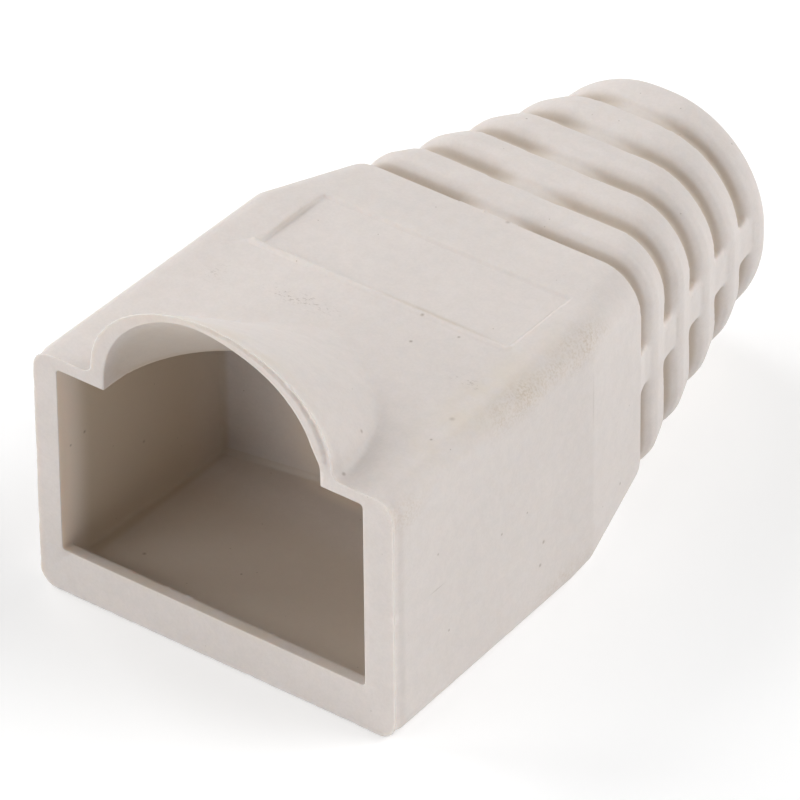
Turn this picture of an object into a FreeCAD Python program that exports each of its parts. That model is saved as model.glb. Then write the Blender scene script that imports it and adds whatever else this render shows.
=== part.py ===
"""Strain relief boot for an eight-way modular plug, moulded in one piece of soft PVC.

X runs across the boot, Y runs along it from the plug's mouth to the cable end, and +Z is up.
The flat base lies on z = 0, and the origin is below the middle of the whole boot.
All sizes are in millimetres. Depths are measured from the mouth until the last step moves the boot
so that its length is centred.
"""
import FreeCAD, Part
import math
import os

# Box that holds the plug
mouth_width = 14.06
mouth_height = 9.0
mouth_corner_radius = 0.7
mouth_edge_radius = 0.08
rim_chamfer = 0.06

shoulder_depth = 10.7
shoulder_width = 13.4
shoulder_height = 9.35
shoulder_corner_radius = 0.9

base_length = 9.7
box_length = 14.25

# Cavity for the plug, which sits a little off the middle and leaves the +X wall thicker
cavity_offset = -0.15
cavity_mouth_width = 11.9
cavity_back_width = 11.3
cavity_depth = 7.8
floor_thickness = 1.0
ceiling_height = 8.5

# Lip across the bottom of the mouth, which keeps the plug in
lip_depth = 0.6
lip_rise = 0.62
lip_edge_radius = 0.15

# Hood over the plug's latch: an arch on upright feet that runs down and back, then eases into the top
hood_width = 9.4
hood_rise = 3.78
hood_foot_rise = 0.4
hood_slope = 0.667
hood_straight_run = 4.2
hood_ease_run = 2.6
hood_ease_steps = 4
hood_side_wall = 0.5
hood_crown_wall = 0.3
hood_inner_run = 4.8
hood_root_radius = 0.3

# Shallow field for a marking label, left bare
field_width = 9.7
field_offset = 0.2
field_start = 8.48
field_length = 3.3
field_depth = 0.1

# Tail that grips and bends with the cable
tail_axis_height = 4.77
neck_width = 11.87
neck_height = 8.5
neck_corner_radius = 1.5
tail_end_width = 7.95
tail_end_height = 7.92
tail_end_corner_radius = 3.85
tail_end_edge_radius = 0.63

rib_count = 5
rib_pitch = 1.91
rib_nose_radius = 0.8
rib_fall = 0.1
end_rib_length = 1.66
groove_width = 0.45
groove_depth = 0.5

# Webs that join the ribs across the grooves, in the middle of each side and of the top and bottom.
# A web's slope widens it outwards, and a web that widens inwards has a slope below 0.
side_web_height = 5.2
side_web_width = 1.55
side_web_slope = 0.44
crown_web_width = 2.3
crown_web_slope = -0.8

# Bore for a round cable
bore_diameter = 5.5
bore_chamfer = 0.2

# Round ends of the ribs are made of this many straight steps
round_steps = 4

# Depth trimmed off the underside, which leaves the flat base
base_trim = 0.02

# Cutting tools reach this far past the surfaces that they open
overshoot = 1.0

# Points nearer than this count as the same place
tolerance = 0.01

# Sizes and places that follow from those above
hood_space_width = hood_width - 2 * hood_side_wall
tail_end = box_length + (rib_count - 1) * rib_pitch + groove_width + end_rib_length


def point(x, y, z):
    return FreeCAD.Vector(x, y, z)


def blend(start, end, share):
    """Value that lies a share of the way from start to end."""
    return start + (end - start) * share


def rounded_section(depth, width, low, high, radius):
    """Upright rectangle with round corners, as a wire at one depth."""
    half = width / 2
    corners = (
        (half - radius, high - radius, 0),
        (radius - half, high - radius, 90),
        (radius - half, low + radius, 180),
        (half - radius, low + radius, 270),
    )

    def on_corner(corner, turn):
        x, z, start = corner
        angle = math.radians(start + turn)
        return point(x + radius * math.cos(angle), depth, z + radius * math.sin(angle))

    edges = []
    for index, corner in enumerate(corners):
        following = corners[(index + 1) % len(corners)]
        arc = Part.Arc(on_corner(corner, 0), on_corner(corner, 45), on_corner(corner, 90))
        edges.append(arc.toShape())
        edges.append(Part.makeLine(on_corner(corner, 90), on_corner(following, 0)))
    return Part.Wire(edges)


def rectangle(depth, width, low, high):
    """Upright rectangle with sharp corners, as a wire at one depth."""
    half = width / 2
    corners = [
        point(-half, depth, low),
        point(half, depth, low),
        point(half, depth, high),
        point(-half, depth, high),
    ]
    return Part.makePolygon(corners + corners[:1])


def slab(start, end, low, high):
    """Block between two depths and two heights that is wider than the boot."""
    width = mouth_width + 2 * overshoot
    return Part.makeBox(width, end - start, high - low, point(-width / 2, start, low))


def chosen_edges(shape, chosen):
    """Edges of a shape whose bounding box passes a test."""
    return [edge for edge in shape.Edges if chosen(edge.BoundBox)]


def lies_at(box, depth):
    return abs(box.YMin - depth) < tolerance and abs(box.YMax - depth) < tolerance


def edges_at(shape, depth):
    """Edges of a shape that lie in the plane at one depth."""
    return chosen_edges(shape, lambda box: lies_at(box, depth))


def tail_size(depth):
    """Width, height and corner radius of the tail's outer form at one depth."""
    share = (depth - box_length) / (tail_end - box_length)
    width = blend(neck_width, tail_end_width, share)
    height = blend(neck_height, tail_end_height, share)
    radius = blend(neck_corner_radius, tail_end_corner_radius, share)
    return width, height, radius


def tail_section(depth, inset=0.0):
    """Outline of the tail at one depth, before its grooves, drawn in evenly by the inset."""
    width, height, radius = tail_size(depth)
    reach = height / 2 - inset
    low = tail_axis_height - reach
    high = tail_axis_height + reach
    return rounded_section(depth, width - 2 * inset, low, high, radius - inset)


def base_slope_height(depth):
    """Height of the underside before the base is trimmed flat."""
    neck_low = tail_axis_height - neck_height / 2
    share = max(0.0, (depth - base_length) / (box_length - base_length))
    return blend(-base_trim, neck_low, share)


def box_section(depth):
    """Outline of the box at a depth up to its shoulder."""
    share = depth / shoulder_depth
    width = blend(mouth_width, shoulder_width, share)
    high = blend(mouth_height, shoulder_height, share)
    radius = blend(mouth_corner_radius, shoulder_corner_radius, share)
    return rounded_section(depth, width, base_slope_height(depth), high, radius)


def make_box():
    """Outer form of the box: straight to the shoulder, then drawn in to the neck."""
    sections = [box_section(depth) for depth in (0.0, base_length, shoulder_depth)]
    return Part.makeLoft(sections + [tail_section(box_length)], True, True)


def arch(depth, foot, width, rise, skirt):
    """Half ellipse that stands on a height at one depth, with upright feet below it, as a face."""
    half = width / 2
    ellipse = Part.Ellipse(point(0, 0, 0), max(half, rise), min(half, rise))
    if half >= rise:
        turn = FreeCAD.Rotation(FreeCAD.Vector(1, 0, 0), 90)
    else:
        turn = FreeCAD.Rotation(FreeCAD.Vector(0, -1, 0), 90).multiply(
            FreeCAD.Rotation(FreeCAD.Vector(1, 0, 0), 90)
        )
    curve = ellipse.toShape(0, math.pi)
    curve.Placement = FreeCAD.Placement(point(0, depth, foot), turn)
    left = point(-half, depth, foot)
    right = point(half, depth, foot)
    low_left = point(-half, depth, foot - skirt)
    low_right = point(half, depth, foot - skirt)
    outline = [
        curve,
        Part.makeLine(left, low_left),
        Part.makeLine(low_left, low_right),
        Part.makeLine(low_right, right),
    ]
    return Part.Face(Part.Wire(Part.__sortEdges__(outline)))


def hood_drop(depth):
    """How far the hood has sunk at one depth: an even slope, then a parabola that levels out."""
    eased = max(0.0, depth - hood_straight_run)
    return hood_slope * (depth - eased ** 2 / (2 * hood_ease_run))


def make_hood():
    """Outside of the hood, an arch that sinks into the top as it runs back."""
    depths = [0.0, hood_straight_run / 2, hood_straight_run]
    for step in range(hood_ease_steps):
        depths.append(hood_straight_run + hood_ease_run * (step + 1) / hood_ease_steps)
    foot = mouth_height + hood_foot_rise
    rise = hood_rise - hood_foot_rise
    skirt = hood_foot_rise + (mouth_height - ceiling_height) / 2
    faces = [arch(depth, foot - hood_drop(depth), hood_width, rise, skirt) for depth in depths]
    return Part.makeLoft([face.OuterWire for face in faces], True, False)


def make_hood_space():
    """Space below the hood that the plug's latch moves in, with its rim chamfered."""
    rise = hood_rise - hood_crown_wall
    slope = (mouth_height + rise - ceiling_height) / hood_inner_run
    skirt = mouth_height - ceiling_height + overshoot
    front = mouth_height + overshoot * slope
    run = hood_inner_run + overshoot
    space = arch(-overshoot, front, hood_space_width, rise, skirt).extrude(point(0, run, -run * slope))
    lift = rim_chamfer * slope
    flare = 2 * rim_chamfer
    wide = arch(-rim_chamfer, mouth_height + lift, hood_space_width + 2 * flare, rise + flare, skirt)
    narrow = arch(rim_chamfer, mouth_height - lift, hood_space_width, rise, skirt)
    return [space, Part.makeLoft([wide.OuterWire, narrow.OuterWire], True, True)]


def make_cavity():
    """Space for the plug, with its rim chamfered and the lip left across the bottom of its mouth."""
    flare = 2 * rim_chamfer
    sections = [
        rectangle(-rim_chamfer, cavity_mouth_width + 2 * flare, floor_thickness, ceiling_height + flare),
        rectangle(rim_chamfer, cavity_mouth_width, floor_thickness, ceiling_height),
        rectangle(cavity_depth, cavity_back_width, floor_thickness, ceiling_height),
    ]
    space = Part.makeLoft(sections, True, True)
    space.translate(point(cavity_offset, 0, 0))
    lip = slab(-overshoot, lip_depth, 0.0, floor_thickness + lip_rise)
    return space.cut(lip)


def make_field():
    """Tool that sinks the label field, level from its front edge."""
    share = field_start / shoulder_depth
    level = blend(mouth_height, shoulder_height, share) - field_depth
    return Part.makeBox(
        field_width,
        field_length,
        overshoot,
        point(field_offset - field_width / 2, field_start, level),
    )


def groove_start(index):
    return box_length + index * rib_pitch


def last_groove_end():
    return groove_start(rib_count - 1) + groove_width


def make_core():
    """Inner body of the tail, whose surface is the floor of the grooves."""
    ends = (box_length, last_groove_end())
    return Part.makeLoft([tail_section(end, groove_depth) for end in ends], True, True)


def round_end(depth, radius, direction):
    """Tail sections that follow a quarter round, from its face at one depth to its crest."""
    sections = []
    for step in range(round_steps + 1):
        turn = math.radians(90 * step / round_steps)
        run = radius * (1 - math.cos(turn))
        sections.append(tail_section(depth + direction * run, radius * (1 - math.sin(turn))))
    return sections


def make_rib(index):
    """One rib, with a round nose towards the box. The last rib is the end of the tail."""
    sections = round_end(groove_start(index) + groove_width, rib_nose_radius, 1)
    if index == rib_count - 1:
        sections += reversed(round_end(tail_end, tail_end_edge_radius, -1))
    else:
        sections.append(tail_section(groove_start(index + 1), rib_fall))
    return Part.makeLoft(sections, True, True)


def web_section(depth, outwards, height, width, slope):
    """Trapezoid across one web, from inside the grooves' floor to past the tail's surface."""
    tail_width, tail_height, _ = tail_size(depth)
    surface = abs(outwards.x) * tail_width / 2 + abs(outwards.z) * tail_height / 2
    along = point(outwards.z, 0, outwards.x)
    inside = -groove_depth - rib_fall
    corners = []
    for reach, side in ((inside, -1), (overshoot, -1), (overshoot, 1), (inside, 1)):
        half = width / 2 + slope * reach
        corners.append(point(0, depth, height) + outwards * (surface + reach) + along * (side * half))
    return Part.makePolygon(corners + corners[:1])


def make_webs():
    """The four webs, flush with the box at their front and then with the low end of each rib."""
    first_rib = box_length + groove_width
    end = last_groove_end() + rib_nose_radius
    sections = [tail_section(box_length), tail_section(first_rib, rib_fall), tail_section(end, rib_fall)]
    form = Part.makeLoft(sections, True, True)
    webs = []
    for turn in (-1, 1):
        side = (point(turn, 0, 0), side_web_height, side_web_width, side_web_slope)
        crown = (point(0, 0, turn), tail_axis_height, crown_web_width, crown_web_slope)
        for web in (side, crown):
            ends = [web_section(box_length, *web), web_section(end, *web)]
            webs.append(form.common(Part.makeLoft(ends, True, True)))
    return webs


def make_bore():
    """Hole for the cable, from the back of the cavity to the end of the tail, with its end chamfered."""
    radius = bore_diameter / 2
    along = point(0, 1, 0)
    start = point(0, cavity_depth - overshoot, tail_axis_height)
    chamfer_start = point(0, tail_end - bore_chamfer, tail_axis_height)
    hole = Part.makeCylinder(radius, tail_end - cavity_depth + 2 * overshoot, start, along)
    reach = 2 * bore_chamfer
    return [hole, Part.makeCone(radius, radius + reach, reach, chamfer_start, along)]


def is_hood_root(box):
    """True for the edge where the hood meets the top of the box."""
    half = hood_width / 2 + tolerance
    runs_back = box.YMin < tolerance and box.YLength > mouth_edge_radius
    on_top = box.ZMin > ceiling_height
    return runs_back and on_top and box.XMin > -half and box.XMax < half


def is_lip_crest(box):
    """True for the edge at the back of the lip's top."""
    crest = floor_thickness + lip_rise
    return lies_at(box, lip_depth) and abs(box.ZMin - crest) < tolerance


def make_shell():
    """Box and hood, with the hood's root and the outer edge of the mouth rounded."""
    shell = make_box().fuse(make_hood()).removeSplitter()
    shell = shell.makeFillet(hood_root_radius, chosen_edges(shell, is_hood_root))
    return shell.makeFillet(mouth_edge_radius, edges_at(shell, 0.0))


def make_boot():
    ribs = [make_rib(index) for index in range(rib_count)]
    body = make_shell().fuse([make_core()] + ribs + make_webs())
    below_base = slab(-overshoot, base_length + overshoot, -overshoot, 0.0)
    tools = [make_cavity(), make_field(), below_base] + make_hood_space() + make_bore()
    body = body.cut(tools).removeSplitter()
    body = body.makeFillet(lip_edge_radius, chosen_edges(body, is_lip_crest))
    body.translate(point(0, -tail_end / 2, 0))
    return body


def main():
    boot = make_boot()
    solid = boot.Solids[0]
    os.makedirs("parts", exist_ok=True)
    solid.exportStep("parts/boot.step")
    box = solid.optimalBoundingBox(False)
    print("solids", len(boot.Solids), "valid", solid.isValid(), "volume", round(solid.Volume, 1))
    print("x", round(box.XMin, 3), round(box.XMax, 3), "y", round(box.YMin, 3), round(box.YMax, 3))
    print("z", round(box.ZMin, 3), round(box.ZMax, 3), "centre of mass", solid.CenterOfMass)


main()
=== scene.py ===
"""Soft PVC strain relief boot for a modular plug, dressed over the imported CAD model."""
import math

import bmesh
import bpy
from bpy.props import FloatProperty, FloatVectorProperty, IntProperty, PointerProperty
from mathutils import Matrix, Vector, noise


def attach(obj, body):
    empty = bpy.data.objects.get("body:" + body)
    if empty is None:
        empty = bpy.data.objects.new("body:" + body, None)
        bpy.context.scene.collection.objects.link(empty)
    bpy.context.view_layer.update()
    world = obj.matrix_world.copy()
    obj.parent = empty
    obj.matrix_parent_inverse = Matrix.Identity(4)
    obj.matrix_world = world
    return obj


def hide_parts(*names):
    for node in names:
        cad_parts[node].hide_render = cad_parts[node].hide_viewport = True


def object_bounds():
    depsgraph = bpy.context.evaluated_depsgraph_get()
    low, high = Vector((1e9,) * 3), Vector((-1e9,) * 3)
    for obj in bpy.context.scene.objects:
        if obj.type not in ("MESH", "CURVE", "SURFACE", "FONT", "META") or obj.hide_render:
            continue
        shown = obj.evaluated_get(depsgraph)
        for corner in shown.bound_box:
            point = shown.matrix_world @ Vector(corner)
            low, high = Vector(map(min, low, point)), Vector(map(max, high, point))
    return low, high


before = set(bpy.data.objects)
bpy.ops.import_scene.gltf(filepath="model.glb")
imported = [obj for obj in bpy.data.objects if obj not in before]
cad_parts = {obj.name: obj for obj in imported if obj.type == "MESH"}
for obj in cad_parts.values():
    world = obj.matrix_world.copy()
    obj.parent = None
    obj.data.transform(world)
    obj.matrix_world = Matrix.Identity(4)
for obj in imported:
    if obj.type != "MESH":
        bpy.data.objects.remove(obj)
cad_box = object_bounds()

bl_info = {
    "name": "Strain Relief Boot",
    "version": (1, 0, 0),
    "blender": (4, 5, 0),
    "location": "View3D > Sidebar > Boot",
    "description": "Builds a moulded PVC cable boot with its finish, studio light and camera",
    "category": "Object",
}

MM = 0.001
NODE = "boot"

# Most triangles that a piece may have, and how far the larger faces lead its shading, where 50 is even
MOST_TRIANGLES = 200000
SHADING_LEAD = 90

# All further sizes and places are in millimetres. A pair of places is where a soft border starts
# and where it ends.

# Outer form of the tail: where it starts and ends, the height of its axis, and its half width,
# half height and corner radius at both ends
TAIL_START = 2.25
TAIL_END = 12.0
TAIL_AXIS = 4.77
TAIL_SIZES = ((5.935, 3.975), (4.25, 3.96), (1.5, 3.85))

# Ribs and grooves of the tail
RIB_COUNT = 5
RIB_PITCH = 1.91
RIB_NOSE = 0.8
GROOVE_WIDTH = 0.45
GROOVE_DEPTH = 0.5

# Crown of the tail, where the grooves are shallow dips: its half width and end, how far it lies
# above the axis, the dips' share of a groove's depth in the middle, where they reach all of it,
# and how many times they are softened
CROWN_HALF_WIDTH = 2.5
CROWN_END = 11.2
CROWN_RISE = 2.5
DIP_SHARE = 0.46
DIP_BORDER = (0.2, 1.75)
DIP_SOFTENING = 5

# Webs on the tail's sides: the height of their middle, half the height that stays sharp, the
# nearest that they come to the middle of the boot, and how far from them the skin is softened
# how many times
SIDE_WEB = 5.2
WEB_HALF_HEIGHT = 0.35
WEB_NEAREST = 2.5
WEB_SOFTENING = ((1.6, 4), (1.3, 6), (1.05, 8))

# Depth of the mouth and of the cavity's back wall, and the cavity's middle, which is off centre
MOUTH = -12.0
BACK_WALL = -4.2
CAVITY_MIDDLE = -0.15

# Rim of the mouth: the height of its middle, from which its edges face outwards, how clearly they
# do so, where the rim ends behind and is full in front, and where the shaped skin ends
RIM_MIDDLE = 5.0
RIM_FACING = 0.3
RIM_BACK = -11.4
RIM_FRONT = -11.75
RELIEF_END = 2.5

# Ridge of flash on the rim, by how much a face looks forward: where it begins and ends, the most
# for a face that is drawn in behind it, and the share of the flash that such a face is drawn in
FLASH_BEGINS = (0.25, 0.45)
FLASH_ENDS = (0.9, 0.97)
SIDE_FACE = 0.5
SIDE_DRAW = 0.7

# The ridge is full on the hood and on the right side, past these places, and half elsewhere. Two
# noises, with this many waves to a millimetre, leave it uneven within two limits.
FULL_RIDGE_HEIGHT = 9.2
FULL_RIDGE_ACROSS = 6.0
RIDGE_WAVES = 1.7
RIDGE_RIPPLES = 5.3
RIDGE_LIMITS = (0.25, 1.0)

# Lip across the bottom of the mouth: its front, the height of its crest, half the crest's height,
# half its width, and how many times it is softened
LIP_FRONT = -11.85
LIP_CREST = 1.62
LIP_HALF_HEIGHT = 0.25
LIP_HALF_WIDTH = 5.8
LIP_SOFTENING = 8

# Inside of the hood, an arch: the height of its foot at the mouth, how much that falls with each
# millimetre behind it, and the arch's half width and height
HOOD_FOOT = 9.0
HOOD_FALL = 0.83
HOOD_HALF_WIDTH = 4.45
HOOD_HEIGHT = 3.62

# Extra thickness of the hood's rim, and where it starts across, up and along
RIM_EXTRA = 0.13
RIM_EXTRA_ACROSS = (-1.5, 1.5)
RIM_EXTRA_UP = (9.0, 10.0)
RIM_EXTRA_ALONG = (-11.6, -10.6)

# Dish in the cavity's back wall: its half width, how much it sinks with each millimetre from its
# sides, its lowest and highest point, and how far the walls stretch before and behind it
DISH_HALF_WIDTH = 5.65
DISH_SLOPE = 0.17
DISH_BOTTOM = 0.8
DISH_TOP = 8.65
DISH_FRONT = -6.2
DISH_BACK = -1.0

# Raised line in front of the label field: its middle and half length, its depth and reach, the
# least height of the top, its own height on the left, and how much lower it gets to the right
LINE_MIDDLE = 0.1
LINE_HALF_LENGTH = 5.0
LINE_PLACE = -3.65
LINE_REACH = 0.18
LINE_FOOT = 8.9
LINE_HEIGHT = 0.06
LINE_LOSS = 0.03
LINE_BORDER = (-2.0, 1.0)

# Small raised nubs of stray plastic: place, reach and height
NUBS = (
    ((-0.17, 2.23, 9.02), 0.16, 0.05),
    ((5.04, -3.61, 9.27), 0.2, 0.05),
    ((7.0, -11.9, 4.66), 0.25, 0.05),
    ((-1.35, -11.42, 1.62), 0.22, 0.05),
    ((-2.2, -11.42, 1.62), 0.15, 0.04),
    ((1.9, -11.42, 1.62), 0.16, 0.04),
    ((1.6, -11.95, 12.45), 0.2, 0.05),
    ((3.1, -11.95, 11.75), 0.22, 0.05),
    ((3.95, -11.95, 11.0), 0.18, 0.05),
    ((-1.4, -11.95, 12.5), 0.2, 0.04),
)

# Dark specks in the plastic: place, reach and how dark, and the strength of them all
SPECKS = (
    ((2.42, -5.02, 9.23), 0.09, 0.8),
    ((3.5, -4.0, 9.26), 0.08, 0.7),
    ((0.78, 2.18, 9.03), 0.12, 0.5),
    ((1.9, -3.74, 9.27), 0.1, 0.7),
    ((5.84, -7.46, 9.15), 0.14, 0.4),
    ((4.26, -9.92, 9.44), 0.1, 0.6),
    ((5.94, -8.65, 9.11), 0.07, 0.7),
    ((4.84, -11.57, 9.06), 0.1, 0.7),
    ((6.78, -4.05, 2.89), 0.1, 0.7),
    ((6.79, -4.24, 2.1), 0.1, 0.7),
    ((6.85, -6.3, 4.54), 0.07, 0.7),
    ((6.81, -4.93, 4.54), 0.06, 0.7),
    ((6.27, 0.68, 2.14), 0.08, 0.7),
    ((6.94, -9.14, 2.61), 0.07, 0.7),
    ((6.96, -9.68, 5.83), 0.07, 0.6),
    ((-6.05, -10.69, 5.45), 0.09, 0.8),
    ((-6.08, -11.35, 5.3), 0.07, 0.7),
    ((-5.94, -7.93, 3.52), 0.09, 0.6),
    ((-4.42, -9.93, 1.0), 0.1, 0.7),
    ((-2.3, -12.0, 1.51), 0.1, 0.8),
    ((-1.94, -12.0, 0.64), 0.09, 0.6),
    ((2.59, -12.0, 1.08), 0.09, 0.7),
    ((-5.63, -12.0, 0.36), 0.1, 0.5),
    ((6.08, -12.0, 1.45), 0.1, 0.6),
)
SPECK_STRENGTH = 0.8

# Painted shade inside the cavity, a brown tone: its borders, those of the left wall and of the
# paler walls far in, where less shade is painted, the start and foot of the paler back wall, the
# shade's strength, what the left wall adds, and what the paler places lose
CAVITY_SIDES = (6.2, 6.4)
CAVITY_FLOOR = (0.5, 0.7)
CAVITY_TOP = (8.65, 8.85)
CAVITY_FRONT = (-11.9, -10.4)
CAVITY_END = (-3.0, -2.6)
LEFT_WALL = (-5.75, -5.45)
FAR_WALLS = (-6.8, -4.8)
FAR_LEFT = (-6.5, -4.3)
PALE_BACK = -4.45
PALE_BACK_FOOT = 1.25
CAVITY_SHADE = 0.62
LEFT_WALL_SHADE = 0.35
PALE_LOSS = 0.3

# Painted shade inside the hood and in the grooves, a brown tone: its strength and borders
HOOD_SHADE = 0.4
HOOD_EDGE = (0.97, 1.03)
HOOD_FRONT = (-12.0, -11.2)
HOOD_END = (-6.6, -6.3)
GROOVE_SHADE = 0.65
GROOVE_EDGE = (0.1, 0.5)
GROOVES_FRONT = (TAIL_START, TAIL_START + 0.1)
GROOVES_END = (10.6, 11.2)

# Painted light, a pale beige: the centre and reach of the lit strip on the left wall beside the
# mouth and the borders that it stays within, and the same of the brighter part of the cavity's
# back wall, with the strength of both
LIT_STRIP = ((-6.1, -12.0, 5.0), (0.7, 1.7, 9.0))
LIT_STRIP_LEFT = -6.35
LIT_STRIP_FRONT = -11.88
LIT_STRIP_TOP = 8.6
LIT_STRIP_STRENGTH = 1.3
LIT_BACK_WALL = ((-0.9, -3.7, 3.6), (3.6, 0.9, 4.5))
LIT_BACK_WALL_FRONT = -4.3
LIT_BACK_WALL_STRENGTH = 2

# Soft patches, each with its centre, its reach along the three axes, and its strength: the hood's
# rim, the top's right edge and the lip, which hands have stained
HANDLED = (
    ((0.0, -11.5, 11.6), (5.4, 1.1, 3.6), 1.0),
    ((6.0, -6.0, 9.1), (1.6, 7.0, 1.0), 0.8),
    ((-0.5, -11.7, 1.65), (9.0, 0.5, 0.4), 1.2),
)

# Dusty places: the top's right edge, front and back, the corner beside the hood and the foot of
# the right side
DUSTY = (
    ((6.62, -5.3, 8.8), (0.7, 2.8, 0.95), 1.0),
    ((6.45, -1.9, 8.8), (0.75, 3.0, 1.0), 1.0),
    ((6.95, -11.4, 8.3), (0.7, 1.6, 0.9), 0.6),
    ((6.75, -2.6, 0.8), (0.6, 3.2, 0.7), 0.5),
)

# Dirt along the front and the left edge of the label field
FIELD_DIRT = (
    ((2.1, -3.48, 9.2), (3.7, 0.22, 1.0), 0.9),
    ((-4.62, -2.0, 9.2), (0.14, 1.9, 1.0), 0.3),
)

# Bands of fine scratches across the top
SCRATCHED = (
    ((-1.6, -5.25, 9.2), (2.1, 0.5, 0.5), 1.0),
    ((5.1, -5.7, 9.2), (0.9, 0.4, 0.5), 0.7),
    ((-4.7, -5.6, 9.2), (0.7, 0.9, 0.5), 0.35),
)

# Two marks on the right side, one upright and one slanting
MARKS = (
    ((6.7, -1.33, 6.6), (0.3, 0.07, 1.5), 0.25),
    ((6.96, -9.74, 4.55), (0.3, 0.6, 0.04), 0.45),
)

# Lightest and darkest tone of the clean plastic, as shares of its colour
LIGHTEST = 1.035
DARKEST = 0.94

# What the camera sees of the floor: its paint, and the light that lifts it towards white
FLOOR_WHITE = 0.7
FLOOR_LIFT = 0.4


def colour_setting(**words):
    return FloatVectorProperty(subtype="COLOR", size=3, min=0, max=1, **words)


def direction_setting(**words):
    return FloatVectorProperty(subtype="DIRECTION", size=3, **words)


def length_setting(**words):
    return FloatProperty(unit="LENGTH", precision=6, **words)


class BootMould(bpy.types.PropertyGroup):
    """How softly the moulded surface is rounded."""

    grain: length_setting(
        name="Surface grain",
        description="Spacing of the skin's points, which is about the radius of its sharpest edge",
        default=0.06 * MM,
    )
    smoothing: IntProperty(
        name="Smoothing",
        description="How many times the skin is relaxed",
        default=2,
        min=0,
    )
    flash: length_setting(
        name="Flash",
        description="Height of the uneven ridge that the mould left on the mouth's outer edges",
        default=0.08 * MM,
    )
    triangles: IntProperty(
        name="Triangles",
        description="Most triangles that the finished skin has",
        default=190000,
        min=1000,
    )


class BootFinish(bpy.types.PropertyGroup):
    """Colour and surface of the soft PVC."""

    colour: colour_setting(
        name="Colour",
        description="Warm light grey of the clean plastic",
        default=(0.70, 0.645, 0.612),
    )
    stain: colour_setting(
        name="Stain",
        description="Yellowed colour of handled places",
        default=(0.68, 0.60, 0.49),
    )
    # Painted shade: the brown colour that the cavity, the hood's inside and the grooves are tinted towards
    painted_shade_colour: colour_setting(
        name="Hollows",
        description="Browner colour inside the cavity and in the grooves",
        default=(0.56, 0.465, 0.36),
    )
    # Painted light: the pale beige of the lit strip beside the mouth and of the lit part of the back wall
    painted_light_colour: colour_setting(
        name="Bare strip",
        description="Light beige of the left wall next to the mouth and of the cavity's back",
        default=(0.86, 0.75, 0.645),
    )
    grime: colour_setting(
        name="Grime",
        description="Colour of the brownish dust on edges",
        default=(0.47, 0.37, 0.25),
    )
    speck: colour_setting(
        name="Specks",
        description="Colour of the scratches, the fine dust and the dark specks in the plastic",
        default=(0.2, 0.14, 0.09),
    )
    roughness: FloatProperty(
        name="Roughness",
        description="Middle roughness of the matt surface",
        default=0.58,
        min=0,
        max=1,
        subtype="FACTOR",
    )
    softness: length_setting(
        name="Light depth",
        description="How far light travels inside the soft plastic",
        default=0.35 * MM,
    )


class BootStage(bpy.types.PropertyGroup):
    """Camera, floor and light."""

    azimuth: FloatProperty(
        name="Azimuth",
        description="How far the camera stands to the right of the mouth",
        default=math.radians(37.559),
        subtype="ANGLE",
    )
    elevation: FloatProperty(
        name="Elevation",
        description="Height of the camera above the horizon",
        default=math.radians(35.561),
        subtype="ANGLE",
    )
    roll: FloatProperty(
        name="Roll",
        description="Turn of the camera about its own line of sight",
        default=math.radians(-0.617),
        subtype="ANGLE",
    )
    distance: length_setting(
        name="Distance",
        description="From the camera to the point that it looks at",
        default=303.17 * MM,
    )
    sight: FloatVectorProperty(
        name="Looks at",
        description="Point in the middle of the picture",
        default=(-0.786 * MM, -1.434 * MM, 3.580 * MM),
        unit="LENGTH",
        precision=6,
        size=3,
    )
    lens: FloatProperty(
        name="Lens",
        description="Focal length in millimetres on a sensor 36 mm wide",
        default=432.4,
    )
    sky: FloatProperty(
        name="Sky",
        description="Brightness of the even light from all round",
        default=0.1,
        min=0,
    )
    floor_shade: FloatProperty(
        name="Floor shade",
        description="Share of the light that the floor throws back at the boot",
        default=0.8,
        min=0,
        max=1,
    )
    floor_glow: FloatProperty(
        name="Floor glow",
        description="Light that comes up through the pale floor",
        default=0.18,
        min=0,
    )
    back_lamp: FloatProperty(
        name="Back lamp",
        description="Brightness that the lamp behind, on the right, adds to a surface that faces it",
        default=0.66,
        min=0,
    )
    back_towards: direction_setting(
        name="Back lamp direction",
        description="Direction from the boot to the lamp behind it",
        default=(0.58, 0.43, 0.69),
    )
    left_lamp: FloatProperty(
        name="Left lamp",
        description="Brightness that the lamp on the left adds to a surface that faces it",
        default=0.56,
        min=0,
    )
    left_towards: direction_setting(
        name="Left lamp direction",
        description="Direction from the boot to the lamp on the left",
        default=(-0.84, 0.0, 0.54),
    )
    front_lamp: FloatProperty(
        name="Front lamp",
        description="Brightness that the low lamp in front adds to a surface that faces it",
        default=0.465,
        min=0,
    )
    front_towards: direction_setting(
        name="Front lamp direction",
        description="Direction from the boot to the lamp in front",
        default=(-0.43, -0.85, 0.28),
    )
    right_lamp: FloatProperty(
        name="Right lamp",
        description="Brightness that the lamp on the right adds to a surface that faces it",
        default=0.08,
        min=0,
    )
    right_towards: direction_setting(
        name="Right lamp direction",
        description="Direction from the boot to the lamp on the right",
        default=(1.0, -0.18, 0.2),
    )
    spread: FloatProperty(
        name="Lamp spread",
        description="Apparent size of a soft lamp, seen from the boot",
        default=math.radians(45),
        subtype="ANGLE",
    )
    floor_size: FloatProperty(
        name="Floor",
        description="Width of the floor",
        default=4.0,
        unit="LENGTH",
    )


def millimetres(*values):
    """Lengths in millimetres, as lengths in the scene."""
    return tuple(value * MM for value in values)


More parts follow.
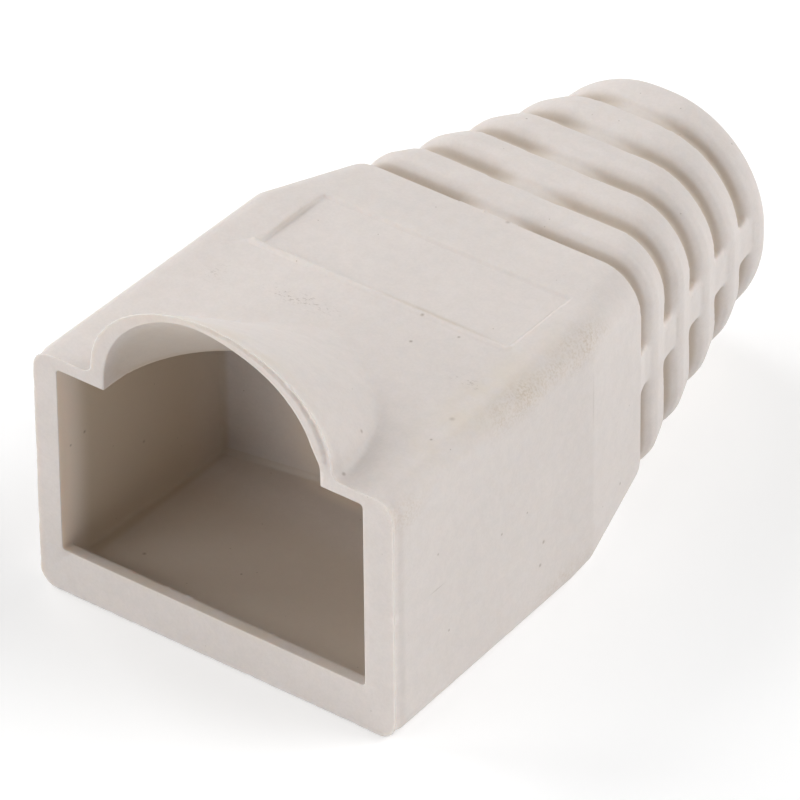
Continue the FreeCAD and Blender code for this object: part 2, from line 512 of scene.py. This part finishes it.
class Signal:
    """A socket in a material. Operators on it add Math nodes, and make() adds any other node."""

    def __init__(self, tree, socket=None):
        self.tree = tree
        self.socket = socket

    def make(self, kind, settings=None, sockets=None, output=0):
        """Adds a node with its settings, then the values or links of its sockets."""
        node = self.tree.nodes.new(kind)
        for name, value in (settings or {}).items():
            setattr(node, name, value)
        for name, value in (sockets or {}).items():
            if isinstance(value, Signal):
                self.tree.links.new(value.socket, node.inputs[name])
            else:
                node.inputs[name].default_value = value
        return Signal(self.tree, node.outputs[output] if node.outputs else None)

    def beside(self, name):
        """Another output of the node that this signal comes from."""
        return Signal(self.tree, self.socket.node.outputs[name])

    def maths(self, operation, first, second=0.0):
        """Adds a Math node."""
        return self.make("ShaderNodeMath", {"operation": operation}, {0: first, 1: second})

    def __add__(self, other):
        return self.maths("ADD", self, other)

    def __radd__(self, other):
        return self.maths("ADD", other, self)

    def __sub__(self, other):
        return self.maths("SUBTRACT", self, other)

    def __rsub__(self, other):
        return self.maths("SUBTRACT", other, self)

    def __mul__(self, other):
        return self.maths("MULTIPLY", self, other)

    def __rmul__(self, other):
        return self.maths("MULTIPLY", other, self)

    def __gt__(self, other):
        return self.maths("GREATER_THAN", self, other)

    def __lt__(self, other):
        return self.maths("LESS_THAN", self, other)

    def __abs__(self):
        return self.maths("ABSOLUTE", self)

    def at_least(self, other):
        """The larger of two values."""
        return self.maths("MAXIMUM", self, other)

    def at_most(self, other):
        """The smaller of two values."""
        return self.maths("MINIMUM", self, other)

    def rise(self, low, high):
        """0 below low, 1 above high, and a smooth rise between them."""
        settings = {"interpolation_type": "SMOOTHSTEP"}
        return self.make("ShaderNodeMapRange", settings, {"Value": self, "From Min": low, "From Max": high})

    def fall(self, low, high):
        """1 below low, 0 above high, and a smooth fall between them."""
        return 1 - self.rise(low, high)

    def vector_maths(self, operation, other=(0, 0, 0), output=0):
        """Adds a Vector Math node to this place signal."""
        return self.make("ShaderNodeVectorMath", {"operation": operation}, {0: self, 1: other}, output)

    def moved(self, seed):
        """This place signal, moved so that each seed gives another pattern."""
        return self.vector_maths("ADD", millimetres(seed, seed, seed))

    def stretched(self, scale):
        """This place signal with each axis scaled, which draws out the patterns made on it."""
        return self.vector_maths("MULTIPLY", scale)

    def axes_in_mm(self):
        """The three coordinates of this place signal, in millimetres."""
        scaled = self.stretched((1 / MM, 1 / MM, 1 / MM))
        first = self.make("ShaderNodeSeparateXYZ", {}, {0: scaled})
        return first, first.beside("Y"), first.beside("Z")

    def noise(self, size, detail=2.0, roughness=0.5, seed=0.0):
        """Cloudy values from 0 to 1 on this place signal, with patches of one size in millimetres."""
        scale = 1 / (size * MM)
        sockets = {"Vector": self.moved(seed), "Scale": scale, "Detail": detail, "Roughness": roughness}
        return self.make("ShaderNodeTexNoise", {}, sockets)

    def spots(self, cell, radius, share, seed=0.0):
        """Mask of small round spots, in the given share of cells of one size in millimetres."""
        cell, radius = millimetres(cell, radius)
        sockets = {"Vector": self.moved(seed), "Scale": 1 / cell}
        cells = self.make("ShaderNodeTexVoronoi", {}, sockets)
        pick = self.make("ShaderNodeSeparateColor", {}, {0: cells.beside("Color")})
        near = cells.beside("Distance").fall(0.5 * radius / cell, radius / cell)
        return near * (pick < share)

    def round_spot(self, centre, reach):
        """Mask that is 1 at a point and falls to 0 at one distance in millimetres."""
        return self.vector_maths("DISTANCE", millimetres(*centre), "Value").fall(0.0, reach * MM)

    def near(self, centre, reach):
        """Mask that is 1 at a point and falls to 0 on an ellipsoid, both given in millimetres."""
        away = self.vector_maths("SUBTRACT", millimetres(*centre))
        shares = away.vector_maths("DIVIDE", millimetres(*reach))
        return shares.vector_maths("LENGTH", output="Value").fall(0.0, 1.0)

    def patches(self, rows):
        """Sum of soft patches, from rows of their centres, reaches and strengths."""
        first, *rest = [strength * self.near(centre, reach) for centre, reach, strength in rows]
        return sum(rest, first)

    def tint(self, amount, colour):
        """This colour, mixed towards another one by a mask."""
        settings = {"data_type": "RGBA", "blend_type": "MIX"}
        return self.make("ShaderNodeMix", settings, {0: amount, 6: self, 7: (*colour, 1)}, 2)


def new_material(name):
    """Material with an empty node tree, and the signal that its first nodes are made from."""
    material = bpy.data.materials.new(name)
    material.use_nodes = True
    material.node_tree.nodes.clear()
    return material, Signal(material.node_tree)


def tail_section(share):
    """Half width, half height and corner radius of the tail at a share of its length."""
    return [low + (high - low) * share for low, high in TAIL_SIZES]


def groove_depth(across, along, height):
    """How deep a point lies below the outer form of the tail."""
    share = (along - TAIL_START) * (1 / (TAIL_END - TAIL_START))
    half_width, half_height, radius = tail_section(share)
    aside = abs(across) - half_width + radius
    above = abs(height - TAIL_AXIS) - half_height + radius
    past_side = aside.at_least(0.0)
    past_top = above.at_least(0.0)
    corner = past_side * past_side + past_top * past_top
    flat = aside.at_least(above).at_most(0.0)
    return radius - corner.maths("SQRT", corner) - flat


def cavity_painted_shade(across, along, height):
    """Mask of painted shade inside the cavity, brown, weaker far in and on the back wall."""
    within = abs(across - CAVITY_MIDDLE).fall(*CAVITY_SIDES) * height.rise(*CAVITY_FLOOR)
    within = within * height.fall(*CAVITY_TOP) * along.rise(*CAVITY_FRONT) * along.fall(*CAVITY_END)
    left = across.fall(*LEFT_WALL)
    far = along.rise(*FAR_WALLS) * (1 - left)
    behind = (along > PALE_BACK) * (height > PALE_BACK_FOOT) * (1 - left)
    corner = left * along.rise(*FAR_LEFT)
    tone = CAVITY_SHADE + LEFT_WALL_SHADE * left - PALE_LOSS * far - PALE_LOSS * behind - PALE_LOSS * corner
    return within * tone


def hood_painted_shade(across, along, height):
    """Mask of the painted shade inside the hood, a brown tone."""
    foot = HOOD_FOOT - HOOD_FALL * (along - MOUTH)
    wide = across * (1 / HOOD_HALF_WIDTH)
    tall = (height - foot) * (1 / HOOD_HEIGHT)
    arch = (wide * wide + tall * tall).fall(*HOOD_EDGE) * height.rise(*CAVITY_TOP)
    return HOOD_SHADE * arch * along.rise(*HOOD_FRONT) * along.fall(*HOOD_END)


def groove_painted_shade(across, along, height):
    """Mask of the painted shade in the grooves of the tail, a brown tone."""
    groove = GROOVE_SHADE * groove_depth(across, along, height).rise(*GROOVE_EDGE)
    return groove * along.rise(*GROOVES_FRONT) * along.fall(*GROOVES_END)


def painted_light(place, across, along, height):
    """Mask of painted light: the pale strip beside the mouth and the pale part of the cavity's back wall.
    """
    strip = place.near(*LIT_STRIP) * (across > LIT_STRIP_LEFT) * (along > LIT_STRIP_FRONT) * (height < LIT_STRIP_TOP)
    back_wall = place.near(*LIT_BACK_WALL) * (along > LIT_BACK_WALL_FRONT)
    return LIT_STRIP_STRENGTH * strip + LIT_BACK_WALL_STRENGTH * back_wall


def scuffs(place):
    """Mask of fine dark scratches: bands across the top and two marks on the right side."""
    drawn_out = place.stretched((0.45, 1, 1))
    strokes = drawn_out.noise(size=0.08, detail=3.0, roughness=0.65, seed=41).rise(0.54, 0.68)
    return strokes * place.patches(SCRATCHED) + place.patches(MARKS)


def grime(place):
    """Mask of brownish dust on the handled edges and along the label field."""
    grit = place.noise(size=0.09, roughness=0.7, seed=3).rise(0.4, 0.68)
    clumps = place.noise(size=1.2, roughness=0.6, seed=7).rise(0.3, 0.6)
    dust = place.patches(DUSTY) * (0.1 + 0.9 * grit) * (0.35 + 0.65 * clumps)
    return dust + place.patches(FIELD_DIRT) * (0.4 + 0.6 * clumps)


def specks(place):
    """Mask of the dark specks, most of them scattered and some in places of their own."""
    mask = place.spots(cell=1.3, radius=0.05, share=0.3, seed=17) * 0.5
    for centre, reach, dark in SPECKS:
        mask = mask + SPECK_STRENGTH * dark * place.round_spot(centre, reach)
    return mask


def clean_plastic(place, pale):
    """Colour of the clean plastic, with faint clouds, a fine mottle and flecks."""
    clouds = place.noise(size=5, seed=11).rise(0.3, 0.7)
    mottle = place.noise(size=0.45, roughness=0.6, seed=13).rise(0.3, 0.7)
    flecks = place.noise(size=0.1, detail=1.0, roughness=0.6, seed=29).rise(0.3, 0.7)
    return place.make("ShaderNodeMix", {"data_type": "RGBA"}, {
        0: 0.35 * clouds + 0.35 * mottle + 0.3 * flecks,
        6: (*(channel * LIGHTEST for channel in pale), 1),
        7: (*(channel * DARKEST for channel in pale), 1),
    }, 2)


def fine_bumps(place):
    """Normal of the surface, with a moulded grain and long soft waves."""
    grain = place.noise(size=0.07, roughness=0.6, seed=31)
    waves = place.noise(size=1.6, seed=37)
    sockets = {"Strength": 0.35, "Distance": 0.02 * MM, "Height": 0.3 * grain + 1.6 * waves}
    return place.make("ShaderNodeBump", {}, sockets)


def soft_pvc(finish):
    """Warm light grey matt PVC with faint clouds, painted shade and light, grime, scuffs, specks and grain.
    """
    material, start = new_material("soft_pvc")
    place = start.make("ShaderNodeTexCoord", output="Object")
    axes = place.axes_in_mm()

    # Painted shade: the cavity, the hood's inside and the grooves are tinted brown
    painted_shade = cavity_painted_shade(*axes) + hood_painted_shade(*axes) + groove_painted_shade(*axes)
    blotches = place.noise(size=1.3, roughness=0.65, seed=5).rise(0.34, 0.62)
    stain = place.patches(HANDLED) * blotches * 0.5
    dust = place.spots(cell=0.5, radius=0.032, share=0.3, seed=5) * 0.4

    colour = clean_plastic(place, finish.colour)
    colour = colour.tint(painted_shade, finish.painted_shade_colour)
    # Painted light: the strip beside the mouth and part of the cavity's back wall are tinted pale beige
    colour = colour.tint(painted_light(place, *axes), finish.painted_light_colour)
    colour = colour.tint(stain, finish.stain)
    colour = colour.tint(grime(place) * 0.6, finish.grime)
    colour = colour.tint(scuffs(place) * 0.6, finish.speck)
    colour = colour.tint(dust, finish.speck).tint(specks(place), finish.speck)

    matt = finish.roughness + 0.12 * (place.noise(size=0.9, seed=23) - 0.5) - 0.1 * stain

    surface = start.make("ShaderNodeBsdfPrincipled", {"subsurface_method": "RANDOM_WALK"}, {
        "Base Color": colour,
        "Roughness": matt,
        "IOR": 1.5,
        "Specular IOR Level": 0.35,
        "Subsurface Weight": 0.45,
        "Subsurface Radius": (1.0, 0.75, 0.58),
        "Subsurface Scale": finish.softness,
        "Normal": fine_bumps(place),
    })
    start.make("ShaderNodeOutputMaterial", {}, {"Surface": surface})
    return material


def seen_by_camera(start):
    """Mask of the rays that come from the camera, straight or by way of gloss or clear things."""
    rays = start.make("ShaderNodeLightPath", output="Is Camera Ray")
    return rays + rays.beside("Is Glossy Ray") + rays.beside("Is Transmission Ray") > 0.5


def glowing_paint(start, shade, glow):
    """Matt grey paint that also gives off an even light."""
    paint = start.make("ShaderNodeBsdfDiffuse", {}, {"Color": (shade, shade, shade, 1)})
    light = start.make("ShaderNodeEmission", {}, {"Strength": glow})
    return start.make("ShaderNodeAddShader", {}, {0: paint, 1: light})


def floor_paint(shade, glow):
    """Pale matt floor that the camera sees as white, with the boot's shadow on it."""
    material, start = new_material("pale_floor")
    surface = start.make("ShaderNodeMixShader", {}, {
        0: seen_by_camera(start),
        1: glowing_paint(start, shade, glow),
        2: glowing_paint(start, FLOOR_WHITE, FLOOR_LIFT),
    })
    start.make("ShaderNodeOutputMaterial", {}, {"Surface": surface})
    return material


def link(name, data):
    """New object at the origin, in the scene's collection."""
    made = bpy.data.objects.new(name, data)
    bpy.context.scene.collection.objects.link(made)
    return made


def merged_copy(node):
    """The CAD node's skin as one closed mesh, with its loose triangles joined."""
    skin = bmesh.new()
    skin.from_mesh(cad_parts[node].data)
    bmesh.ops.remove_doubles(skin, verts=skin.verts, dist=0.001 * MM)
    bmesh.ops.recalc_face_normals(skin, faces=skin.faces)
    mesh = bpy.data.meshes.new(node + "_skin")
    skin.to_mesh(mesh)
    skin.free()
    mesh.materials.clear()
    return mesh


def settle(piece):
    """Applies a piece's modifiers to its mesh."""
    shown = piece.evaluated_get(bpy.context.evaluated_depsgraph_get())
    mesh = bpy.data.meshes.new_from_object(shown)
    piece.modifiers.clear()
    piece.data = mesh


def smooth(skin, verts, times):
    """Relaxes vertices towards their neighbours, a number of times."""
    for _ in range(times):
        bmesh.ops.smooth_vert(
            skin, verts=verts, factor=0.5, use_axis_x=True, use_axis_y=True, use_axis_z=True
        )


def smooth_step(value, start, end):
    """0 up to the start, 1 from the end on, and a smooth rise between them."""
    share = min(max((value - start) / (end - start), 0.0), 1.0)
    return share * share * (3 - 2 * share)


def tail_top(across, along):
    """Height of the tail's outer form above a point."""
    share = (along - TAIL_START) / (TAIL_END - TAIL_START)
    half_width, half_height, radius = tail_section(share)
    side = max(0.0, abs(across) - (half_width - radius))
    return TAIL_AXIS + half_height - radius + math.sqrt(radius ** 2 - side ** 2)


def rib_profile(along):
    """Depth of the grooves and of the ribs' noses below the tail's outer form."""
    index = min(int((along - TAIL_START) / RIB_PITCH), RIB_COUNT - 1)
    run = along - TAIL_START - index * RIB_PITCH - GROOVE_WIDTH
    if run < 0:
        return GROOVE_DEPTH
    if run < RIB_NOSE:
        return min(GROOVE_DEPTH, RIB_NOSE - math.sqrt(RIB_NOSE ** 2 - (RIB_NOSE - run) ** 2))
    return 0.0


def sink_crown(skin):
    """Lets the grooves run on over the top of the tail, shallow in the middle, as soft dips."""
    dipped = []
    for vert in skin.verts:
        across, along, height = vert.co / MM
        on_crown = abs(across) <= CROWN_HALF_WIDTH and height >= TAIL_AXIS + CROWN_RISE
        if not on_crown or not TAIL_START < along < CROWN_END:
            continue
        top = tail_top(across, along)
        share = DIP_SHARE + (1 - DIP_SHARE) * smooth_step(abs(across), *DIP_BORDER)
        dip = rib_profile(along) * share
        if top - height < dip:
            vert.co.z = (top - dip) * MM
        dipped.append(vert)
    smooth(skin, dipped, DIP_SOFTENING)


def round_grooves(skin):
    """Rounds the grooves' ends beside the webs on the left and the right of the tail."""
    for reach, times in WEB_SOFTENING:
        chosen = [
            vert for vert in skin.verts
            if abs(vert.co.x) > WEB_NEAREST * MM
            and TAIL_START < vert.co.y / MM < CROWN_END
            and WEB_HALF_HEIGHT < abs(vert.co.z / MM - SIDE_WEB) < reach
        ]
        smooth(skin, chosen, times)


def round_lip(skin):
    """Rounds the crest of the lip across the bottom of the mouth."""
    crest = [
        vert for vert in skin.verts
        if vert.co.y < LIP_FRONT * MM
        and abs(vert.co.z / MM - LIP_CREST) < LIP_HALF_HEIGHT
        and abs(vert.co.x) < LIP_HALF_WIDTH * MM
    ]
    smooth(skin, crest, LIP_SOFTENING)


def faces_out(place, normal):
    """True on the outer faces and edges of the mouth."""
    return normal.x * place.x + normal.z * (place.z - RIM_MIDDLE) > RIM_FACING


def mouth_ridge(place, normal):
    """Share of an uneven ridge that the mould left on the outer edges of the mouth."""
    if not faces_out(place, normal):
        return 0.0
    edge = smooth_step(-normal.y, *FLASH_BEGINS) * (1 - smooth_step(-normal.y, *FLASH_ENDS))
    uneven = noise.noise(place * RIDGE_WAVES) + 0.6 * noise.noise(place * RIDGE_RIPPLES)
    share = 1.0 if place.z > FULL_RIDGE_HEIGHT or place.x > FULL_RIDGE_ACROSS else 0.5
    least, most = RIDGE_LIMITS
    return share * edge * min(max(0.85 + 0.8 * uneven, least), most)


def rim_lift(place, normal):
    """How far the hood's inside is thicker than the CAD's, on the right and at the crown."""
    if place.z < HOOD_FOOT or normal.x * place.x + normal.z * (place.z - HOOD_FOOT) > 0:
        return 0.0
    share = smooth_step(place.x, *RIM_EXTRA_ACROSS) * smooth_step(place.z, *RIM_EXTRA_UP)
    return RIM_EXTRA * share * (1 - smooth_step(place.y, *RIM_EXTRA_ALONG))


def back_dish(place):
    """How far the cavity's back wall sinks towards the bore, which stretches the walls before it."""
    aside = abs(place.x - CAVITY_MIDDLE)
    if aside > DISH_HALF_WIDTH or not DISH_BOTTOM < place.z < DISH_TOP:
        return 0.0
    sunk = DISH_SLOPE * (DISH_HALF_WIDTH - aside)
    before = smooth_step(place.y, DISH_FRONT, BACK_WALL)
    return sunk * before * (1 - smooth_step(place.y, BACK_WALL, DISH_BACK))


def field_lift(place):
    """Thin raised line in front of the label field, plainer on the left."""
    if abs(place.x - LINE_MIDDLE) > LINE_HALF_LENGTH or place.z < LINE_FOOT:
        return 0.0
    height = LINE_HEIGHT - LINE_LOSS * smooth_step(place.x, *LINE_BORDER)
    return height * max(0.0, 1 - ((place.y - LINE_PLACE) / LINE_REACH) ** 2)


def nub_lift(place):
    """Height of a nub of stray plastic at a point."""
    lift = 0.0
    for centre, reach, rise in NUBS:
        share = (place - Vector(centre)).length / reach
        if share < 1:
            lift = max(lift, rise * (1 - share ** 2) ** 2)
    return lift


def finish_relief(piece, mould):
    """Softens the skin, sinks the tail's dips and the cavity's back, and adds nubs, line and ridge."""
    skin = bmesh.new()
    skin.from_mesh(piece.data)
    smooth(skin, skin.verts, mould.smoothing)
    sink_crown(skin)
    round_grooves(skin)
    round_lip(skin)
    skin.normal_update()
    flash = mould.flash / MM
    rim = []
    for vert in skin.verts:
        place = vert.co / MM
        if place.y > RELIEF_END:
            continue
        normal = vert.normal.copy()
        lift = max(field_lift(place) + rim_lift(place, normal), nub_lift(place))
        if place.y < RIM_BACK:
            behind = 1 - mouth_ridge(place, normal)
            if faces_out(place, normal):
                rim.append(vert)
                if -normal.y < SIDE_FACE:
                    lift -= SIDE_DRAW * behind * flash * smooth_step(place.y, RIM_BACK, RIM_FRONT)
            vert.co.y = max(vert.co.y, (MOUTH + behind * flash) * MM)
        vert.co += normal * lift * MM
        vert.co.y += back_dish(place) * MM
    smooth(skin, rim, 1)
    skin.to_mesh(piece.data)
    skin.free()


def keep_in_box(mesh):
    """Moves vertices that lie a hair outside the CAD model's box onto its faces."""
    for vert in mesh.vertices:
        vert.co = [min(max(value, low), high) for value, low, high in zip(vert.co, *cad_box)]


def triangle_count(mesh):
    """How many triangles a mesh has once all its faces are split."""
    return sum(len(polygon.vertices) - 2 for polygon in mesh.polygons)


class BOOT_OT_mould(bpy.types.Operator):
    """Mould the boot's skin over the CAD solid, with soft edges, and give it its PVC finish"""

    bl_idname = "boot.mould"
    bl_label = "Mould the boot"

    def execute(self, context):
        mould = context.scene.boot_mould
        piece = link("moulded_boot", merged_copy(NODE))
        remesh = piece.modifiers.new("Skin", "REMESH")
        remesh.mode = "VOXEL"
        remesh.voxel_size = mould.grain
        settle(piece)
        finish_relief(piece, mould)
        thin = piece.modifiers.new("Thin", "DECIMATE")
        thin.ratio = min(1.0, mould.triangles / triangle_count(piece.data))
        settle(piece)
        if triangle_count(piece.data) > MOST_TRIANGLES:
            raise RuntimeError("the boot's skin has too many triangles")
        keep_in_box(piece.data)
        for polygon in piece.data.polygons:
            polygon.use_smooth = True
        piece.modifiers.new("Even shading", "WEIGHTED_NORMAL").weight = SHADING_LEAD
        settle(piece)
        piece.data.materials.clear()
        piece.data.materials.append(soft_pvc(context.scene.boot_finish))
        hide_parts(NODE)
        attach(piece, "root")
        return {"FINISHED"}


class BOOT_OT_stage(bpy.types.Operator):
    """Set up the pale floor, the soft light and the camera"""

    bl_idname = "boot.stage"
    bl_label = "Set the stage"

    def execute(self, context):
        stage = context.scene.boot_stage
        self.lay_floor(stage)
        self.raise_sky(context.scene, stage)
        for side in ("back", "left", "front", "right"):
            self.hang_lamp(side, stage)
        self.place_camera(context.scene, stage)
        context.scene.view_settings.view_transform = "Standard"
        return {"FINISHED"}

    def lay_floor(self, stage):
        plane = bmesh.new()
        bmesh.ops.create_grid(plane, x_segments=1, y_segments=1, size=stage.floor_size / 2)
        mesh = bpy.data.meshes.new("floor")
        plane.to_mesh(mesh)
        plane.free()
        mesh.materials.append(floor_paint(stage.floor_shade, stage.floor_glow))
        link("floor", mesh)

    def raise_sky(self, scene, stage):
        """Gives the boot an even light from all round, which the camera sees as white."""
        world = bpy.data.worlds.new("studio")
        world.use_nodes = True
        world.node_tree.nodes.clear()
        start = Signal(world.node_tree)
        surface = start.make("ShaderNodeMixShader", {}, {
            0: seen_by_camera(start),
            1: start.make("ShaderNodeBackground", {}, {"Strength": stage.sky}),
            2: start.make("ShaderNodeBackground", {}, {"Strength": 1.0}),
        })
        start.make("ShaderNodeOutputWorld", {}, {"Surface": surface})
        scene.world = world

    def hang_lamp(self, side, stage):
        """Hangs a wide soft lamp. At a strength of pi it gives a white surface a brightness of 1."""
        name = side + "_lamp"
        lamp = bpy.data.lights.new(name, "SUN")
        lamp.energy = getattr(stage, name) * math.pi
        lamp.angle = stage.spread
        towards = Vector(getattr(stage, side + "_towards"))
        link(name, lamp).rotation_euler = towards.to_track_quat("Z", "Y").to_euler()

    def place_camera(self, scene, stage):
        turn = stage.azimuth
        height = stage.elevation
        back = Vector((
            math.sin(turn) * math.cos(height),
            -math.cos(turn) * math.cos(height),
            math.sin(height),
        ))
        right = Vector((math.cos(turn), math.sin(turn), 0))
        up = back.cross(right)
        axes = Matrix((right, up, back)).transposed() @ Matrix.Rotation(stage.roll, 3, "Z")
        eye = bpy.data.cameras.new("camera")
        eye.lens = stage.lens
        camera = link("camera", eye)
        place = Matrix.Translation(Vector(stage.sight) + back * stage.distance)
        camera.matrix_world = place @ axes.to_4x4()
        scene.camera = camera


class BOOT_PT_panel(bpy.types.Panel):
    """Sizes, colours and steps of the boot"""

    bl_idname = "BOOT_PT_panel"
    bl_label = "Strain relief boot"
    bl_space_type = "VIEW_3D"
    bl_region_type = "UI"
    bl_category = "Boot"

    def draw(self, context):
        for label, group, operator in STEPS:
            box = self.layout.box()
            box.label(text=label)
            settings = getattr(context.scene, group)
            for name in settings.bl_rna.properties.keys():
                if name not in ("rna_type", "name"):
                    box.prop(settings, name)
            if operator:
                box.operator(operator)


STEPS = (
    ("Stage", "boot_stage", "boot.stage"),
    ("Finish", "boot_finish", None),
    ("Moulding", "boot_mould", "boot.mould"),
)
GROUPS = {"boot_mould": BootMould, "boot_finish": BootFinish, "boot_stage": BootStage}
CLASSES = (*GROUPS.values(), BOOT_OT_stage, BOOT_OT_mould, BOOT_PT_panel)


def register():
    for made in CLASSES:
        bpy.utils.register_class(made)
    for name, group in GROUPS.items():
        setattr(bpy.types.Scene, name, PointerProperty(type=group))


def unregister():
    for name in GROUPS:
        delattr(bpy.types.Scene, name)
    for made in reversed(CLASSES):
        bpy.utils.unregister_class(made)


def main():
    register()
    bpy.ops.boot.stage()
    bpy.ops.boot.mould()


if __name__ == "__main__":
    main()
